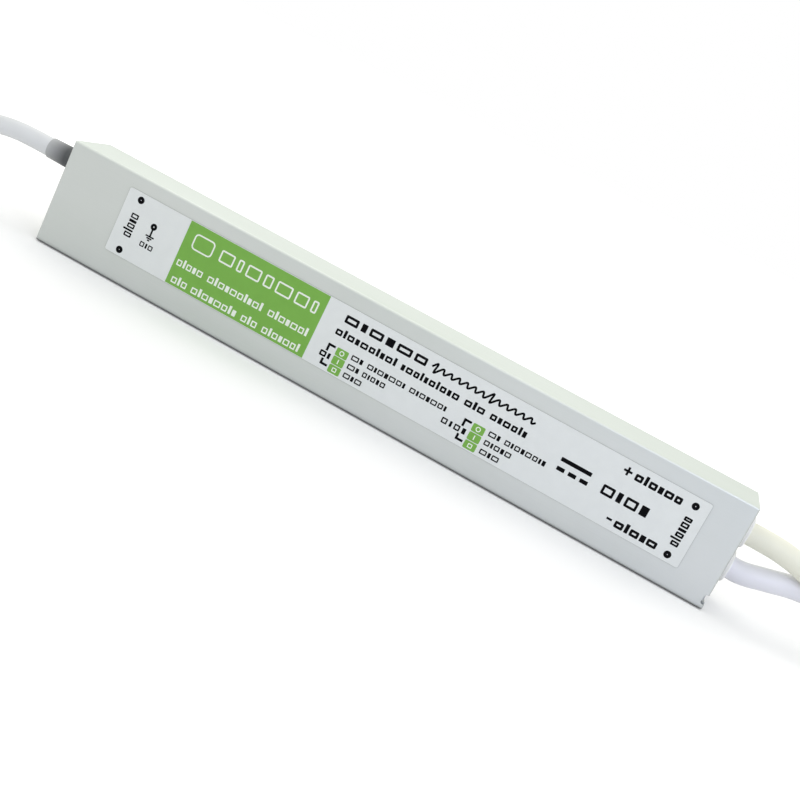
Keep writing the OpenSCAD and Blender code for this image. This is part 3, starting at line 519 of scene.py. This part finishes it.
def round_outline(u0, u1, v0, v1, radius, steps=4):
    """Counter-clockwise rectangle with round corners."""
    radius = min(radius, (u1 - u0) / 2, (v1 - v0) / 2)
    middles = [(u1 - radius, v1 - radius), (u0 + radius, v1 - radius),
               (u0 + radius, v0 + radius), (u1 - radius, v0 + radius)]
    points = []
    for quarter, (u, v) in enumerate(middles):
        for k in range(steps + 1):
            angle = math.radians(90 * (quarter + k / steps))
            points.append((u + radius * math.cos(angle), v + radius * math.sin(angle)))
    return points


def circle_outline(u, v, radius, steps=32):
    """Counter-clockwise circle."""
    angles = [2 * math.pi * k / steps for k in range(steps)]
    return [(u + radius * math.cos(a), v + radius * math.sin(a)) for a in angles]


class Print:
    """One colour of ink on the label: flat prisms, laid out in the label's own millimetres."""

    def __init__(self, name, ink, layer):
        low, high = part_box("label")
        self.middle = Vector(((low.x + high.x) / 2, low.y, (low.z + high.z) / 2))
        self.along = Vector((math.cos(LABEL_TILT), 0, -math.sin(LABEL_TILT)))
        self.up = Vector((math.sin(LABEL_TILT), 0, math.cos(LABEL_TILT)))
        self.name = name
        self.ink = ink
        self.layer = layer
        self.mesh = bmesh.new()

    def corners(self, outline, layer):
        """New vertices at an outline's points, on top of so many layers of ink."""
        out = Vector((0, -layer * INK, 0))
        places = [self.middle + (self.along * u + self.up * v + out) * MM for u, v in outline]
        return [self.mesh.verts.new(place) for place in places]

    def walls(self, back, front):
        """Side faces between two loops."""
        for k in range(len(back)):
            n = (k + 1) % len(back)
            self.mesh.faces.new((back[k], back[n], front[n], front[k]))

    def field(self, outline):
        """Filled shape inside one counter-clockwise outline."""
        back = self.corners(outline, self.layer)
        front = self.corners(outline, self.layer + 1)
        self.mesh.faces.new(front)
        self.mesh.faces.new(back[::-1])
        self.walls(back, front)

    def rim(self, outer, inner):
        """Shape between two counter-clockwise outlines with as many points each."""
        loops = [[self.corners(outline, self.layer + k) for k in (0, 1)] for outline in (outer, inner)]
        (outer_back, outer_front), (inner_back, inner_front) = loops
        self.walls(outer_back, outer_front)
        self.walls(inner_front, inner_back)
        self.walls(outer_front, inner_front)
        self.walls(inner_back, outer_back)

    def block(self, u0, u1, v0, v1, radius=SHARP_RADIUS):
        """Rectangle with round corners."""
        self.field(round_outline(u0, u1, v0, v1, radius))

    def box_line(self, u0, u1, v0, v1, radius, line):
        """Outline of a rectangle with round corners, drawn with a line of that width."""
        inner_radius = max(radius - line, SHARP_RADIUS)
        inner = round_outline(u0 + line, u1 - line, v0 + line, v1 - line, inner_radius)
        self.rim(round_outline(u0, u1, v0, v1, radius), inner)

    def ring(self, u, v, radius, hole):
        """Round dot with a hole in its middle."""
        self.rim(circle_outline(u, v, radius), circle_outline(u, v, hole))

    def stroke(self, points, line):
        """Line of that width through points, with square ends and mitred corners."""
        points = [Vector(point) for point in points]
        last = len(points) - 1
        left, right = [], []
        for k, point in enumerate(points):
            before = (point - points[max(k - 1, 0)]).normalized()
            after = (points[min(k + 1, last)] - point).normalized()
            heading = (before + after).normalized()
            reach = line / 2 / max(heading.dot(after if after.length else before), MITRE_LIMIT)
            side = Vector((-heading.y, heading.x)) * reach
            left.append(point + side)
            right.append(point - side)
        edges = ((0, left), (0, right), (1, right), (1, left))
        rings = [self.corners(edge, self.layer + k) for k, edge in edges]
        for k in range(last):
            for one, two in zip(rings, rings[1:] + rings[:1]):
                self.mesh.faces.new((one[k], two[k], two[k + 1], one[k + 1]))
        for k in (0, last):
            self.mesh.faces.new([ring[k] for ring in rings])

    def finish(self):
        """Makes the piece, which rides with the label."""
        bmesh.ops.recalc_face_normals(self.mesh, faces=self.mesh.faces)
        mesh = bpy.data.meshes.new(self.name)
        self.mesh.to_mesh(mesh)
        self.mesh.free()
        mesh.materials.append(self.ink)
        piece = link(bpy.data.objects.new(self.name, mesh))
        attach(piece, "root")


def word_cells(start, end, count, gap, first=0):
    """Cells of a word between two places: count marks of mixed widths, with gaps between them."""
    marks = [MARKS[(first + k) % len(MARKS)] for k in range(count)]
    scale = (end - start - gap * (count - 1)) / sum(width for width, _ in marks)
    cells = []
    place = start
    for width, kind in marks:
        cells.append((place, place + width * scale, kind))
        place += width * scale + gap
    return cells


def mark(ink, u0, u1, v0, v1, kind, line):
    """Solid mark, or a box drawn with a line of that width."""
    if kind == "box":
        ink.box_line(u0, u1, v0, v1, line / 2, line)
    else:
        ink.block(u0, u1, v0, v1, MARK_RADIUS)


def word(ink, u0, u1, count, v, height, line, capitals=False, gap=0.45, first=0):
    """Row of plain marks on a base line."""
    base = v - height / 2
    for start, end, kind in word_cells(u0, u1, count, gap, first):
        share = 1.0 if capitals or kind == "bar" else LOW_MARK
        mark(ink, start, end, base, base + height * share, kind, line)


def upright_word(ink, v0, v1, count, u, height, line, gap=0.35):
    """Row of plain marks that reads upwards."""
    base = u + height / 2
    for start, end, kind in word_cells(v0, v1, count, gap):
        share = 1.0 if kind == "bar" else LOW_MARK
        mark(ink, base - height * share, base, start, end, kind, line)


def flourish(ink, u0, u1, v, height, waves, line):
    """Slanted wavy line: low waves, with a few taller ones at two places along it."""
    tall_places = (0.04, 0.57)
    tall_reach = 0.035
    low_share = 0.42
    slant = 0.45
    steps_per_wave = 16
    steps = steps_per_wave * waves
    points = []
    for k in range(steps + 1):
        t = k / steps
        tall = max(math.exp(-(((t - place) / tall_reach) ** 2)) for place in tall_places)
        share = low_share + (1 - low_share) * tall
        rise = height / 2 * share * math.sin(2 * math.pi * waves * t)
        points.append((u0 + (u1 - u0) * t + slant * rise, v + rise))
    ink.stroke(points, line)


def print_field(green, white):
    """Green field with a plain sign, a light heading and two rows of marks."""
    green.block(*FIELD)
    white.box_line(*FIELD_SIGN, radius=1.2, line=0.42)
    for start, end, _ in word_cells(*HEADING_WORD, gap=1.2):
        white.box_line(start, end, *HEADING_V, radius=0.5, line=0.46)
    for v, words in FIELD_ROWS.items():
        for place in words:
            word(white, *place, v, height=2.3, line=0.36)


def print_ends(black):
    """Four dots, a word across each end, and an earth sign with a short word at the input end."""
    for u, v in END_DOTS:
        black.ring(u, v, radius=1.0, hole=0.12)
    upright_word(black, *INPUT_END_WORD, INPUT_END_U, height=3.0, line=0.4)
    upright_word(black, *OUTPUT_END_WORD, OUTPUT_END_U, height=2.9, line=0.5)
    black.ring(EARTH_U, EARTH_DOT_V, radius=0.95, hole=0.2)
    black.stroke([(EARTH_U, v) for v in EARTH_STEM_V], line=0.5)
    for half, v in EARTH_BARS:
        black.block(EARTH_U - half, EARTH_U + half, v - EARTH_BAR_HALF, v + EARTH_BAR_HALF)
    word(black, *EARTH_WORD, EARTH_WORD_V, height=1.4, line=0.3, capitals=True, gap=0.4)


def print_titles(black):
    """Bold title with a flourish beside it, and a row of words below."""
    word(black, *TITLE_WORD, TITLE_V, height=2.2, line=0.7, capitals=True, gap=1.0)
    flourish(black, *FLOURISH_U, FLOURISH_V, height=3.0, waves=13, line=0.56)
    for *place, first in SUBTITLE_WORDS:
        word(black, *place, SUBTITLE_V, height=2.2, line=0.54, first=first)


def print_ratings(green, white, black, left, ratings):
    """Three green squares with light signs in a bracket, and a row of words beside each."""
    for (v_word, v_square), words in zip(RATING_ROWS, ratings):
        green.block(left, left + SQUARE_U, v_square - SQUARE_V / 2, v_square + SQUARE_V / 2, radius=0.35)
        for place in words:
            word(black, *place, v_word, height=1.4, line=0.34, capitals=True, gap=0.38)
    near, far = (left - reach for reach in BRACKET_U)
    for v_arm, v_end in BRACKET_ARMS:
        black.stroke([(near, v_arm), (far, v_arm), (far, v_end)], line=0.65)
    u = left + SQUARE_U / 2
    top, middle, bottom = (v_square for _, v_square in RATING_ROWS)
    white.ring(u, top, radius=0.7, hole=0.45)
    white.block(u - 0.15, u + 0.15, middle - 0.65, middle + 0.65, radius=0.15)
    white.box_line(u - 0.65, u + 0.65, bottom - 0.6, bottom + 0.6, radius=0.2, line=0.25)


def print_output(black):
    """Direct current sign, a short bold word, and the two poles with a word beside each."""
    black.block(*CURRENT_U, *CURRENT_V, radius=0.1)
    for k in range(3):
        start = CURRENT_U[0] + k * DASH_PITCH
        black.block(start, start + DASH, *DASH_V, radius=0.1)
    word(black, *BOLD_WORD, BOLD_V, height=2.7, line=0.68, capitals=True, gap=0.9)
    u, v = PLUS
    black.block(u - PLUS_HALF, u + PLUS_HALF, v - POLE_HALF, v + POLE_HALF)
    black.block(u - POLE_HALF, u + POLE_HALF, v + POLE_HALF, v + PLUS_HALF)
    black.block(u - POLE_HALF, u + POLE_HALF, v - PLUS_HALF, v - POLE_HALF)
    word(black, *PLUS_WORD, v, height=2.5, line=0.66)
    u, v = MINUS
    black.block(u - MINUS_HALF, u + MINUS_HALF, v - POLE_HALF, v + POLE_HALF)
    word(black, *MINUS_WORD, v, height=2.5, line=0.68)


def make_print():
    """Generic print in the label's layout: a green field, green squares, dots, brackets and marks."""
    green = Print("label_print_green", INK_GREEN, 0)
    white = Print("label_print_white", INK_WHITE, 1)
    black = Print("label_print_black", INK_BLACK, 0)
    print_field(green, white)
    print_ends(black)
    print_titles(black)
    print_ratings(green, white, black, INPUT_SQUARES, INPUT_RATINGS)
    print_ratings(green, white, black, OUTPUT_SQUARES, OUTPUT_RATINGS)
    word(black, *INPUT_WORD, BRACKET_WORD_V, height=1.6, line=0.48, capitals=True)
    word(black, *OUTPUT_WORD, BRACKET_WORD_V, height=1.6, line=0.4, capitals=True, gap=0.7)
    print_output(black)
    for ink in (green, white, black):
        ink.finish()


def make_floor():
    """Wide pale floor that keeps the shadow, and stays white to the camera as the light falls off."""
    mesh = bpy.data.meshes.new("floor")
    corners = [(x * FLOOR_HALF, y * FLOOR_HALF, FLOOR_Z) for x, y in ((-1, -1), (1, -1), (1, 1), (-1, 1))]
    mesh.from_pydata(corners, [], [(0, 1, 2, 3)])
    floor = link(bpy.data.objects.new("floor", mesh))
    material, bsdf, place = shader("floor")
    bsdf.inputs["Base Color"].default_value = (*FLOOR_COLOUR, 1)
    bsdf.inputs["Roughness"].default_value = 1.0
    bsdf.inputs["Specular IOR Level"].default_value = 0.0
    bsdf.inputs["Emission Color"].default_value = (1, 1, 1, 1)
    away = node(material, "ShaderNodeVectorMath", {0: place}, operation="LENGTH").outputs["Value"]
    lift = map_range(material, away, LIFT_REACH, LIFT)
    to_camera = node(material, "ShaderNodeLightPath").outputs["Is Camera Ray"]
    set_input(material, bsdf, "Emission Strength", compute(material, "MULTIPLY", lift, to_camera))
    mesh.materials.append(material)


def make_world():
    """Even studio light: white to the camera, and pale to shiny surfaces, more so overhead."""
    world = bpy.data.worlds.new("world")
    world.use_nodes = True
    bpy.context.scene.world = world
    nodes = world.node_tree.nodes
    nodes["Background"].inputs["Color"].default_value = (*WORLD_COLOUR, 1)
    facing = node(world, "ShaderNodeTexCoord").outputs["Generated"]
    height = node(world, "ShaderNodeSeparateXYZ", {"Vector": facing}).outputs["Z"]
    shine = between(world, height, WORLD_SHINE, WORLD_SHINE_ABOVE, *SHINE_RISE)
    shiny = node(world, "ShaderNodeBackground", {"Color": shine}).outputs[0]
    white = node(world, "ShaderNodeBackground", Color=(1, 1, 1, 1)).outputs[0]
    rays = node(world, "ShaderNodeLightPath").outputs
    seen = nodes["Background"].outputs[0]
    for ray, light in (("Is Glossy Ray", shiny), ("Is Camera Ray", white)):
        seen = node(world, "ShaderNodeMixShader", {0: rays[ray], 1: seen, 2: light}).outputs[0]
    world.node_tree.links.new(seen, nodes["World Output"].inputs["Surface"])


def make_lamp(name, place, aim, side, brightness, colour, mirrored=True):
    """Square soft box of that side, aimed at a point; brightness is that of its face.

    One that is not mirrored stays out of reflections, so that a shiny top seen from above keeps its tone.
    """
    data = bpy.data.lights.new(name, "AREA")
    data.shape = "SQUARE"
    data.size = side
    data.energy = brightness * math.pi * side * side
    data.color = colour
    lamp = link(bpy.data.objects.new(name, data))
    lamp.visible_glossy = mirrored
    lamp.location = place
    lamp.rotation_mode = "QUATERNION"
    lamp.rotation_quaternion = (Vector(aim) - Vector(place)).to_track_quat("-Z", "Y")


def make_lamps():
    """Light from above and behind, and two cool fills towards the output end."""
    make_lamp("overhead", place=(0.0, 0.15, 1.1), aim=(0.0, 0.0, 0.0), side=2.0,
              brightness=0.68, colour=(0.97, 0.92, 1.0), mirrored=False)
    make_lamp("back", place=(-0.25, 0.5, 0.85), aim=(0.0, 0.0, 0.0), side=0.6,
              brightness=0.92, colour=(0.97, 0.98, 0.89))
    make_lamp("side_fill", place=(0.45, -0.6, 0.4), aim=(0.05, 0.0, 0.015), side=0.4,
              brightness=2.45, colour=(0.765, 0.81, 1.0))
    make_lamp("low_fill", place=(0.45, -0.9, 0.22), aim=(0.1, 0.0, 0.015), side=0.4,
              brightness=1.5, colour=(0.35, 0.38, 1.0))


make_camera()
dress_nodes()
make_cord("input_cord_sheath", "input_cord", "input_bush", -1, INPUT_ROUTE, INPUT_D, "input_sheath")
make_cord("positive_lead_sheath", "positive_lead", "positive_bush", 1, POSITIVE_ROUTE, LEAD_D,
          "positive_sheath")
make_cord("negative_lead_sheath", "negative_lead", "negative_bush", 1, NEGATIVE_ROUTE, LEAD_D,
          "negative_sheath")
make_print()
make_floor()
make_world()
make_lamps()
bpy.context.scene.view_settings.view_transform = "Standard"
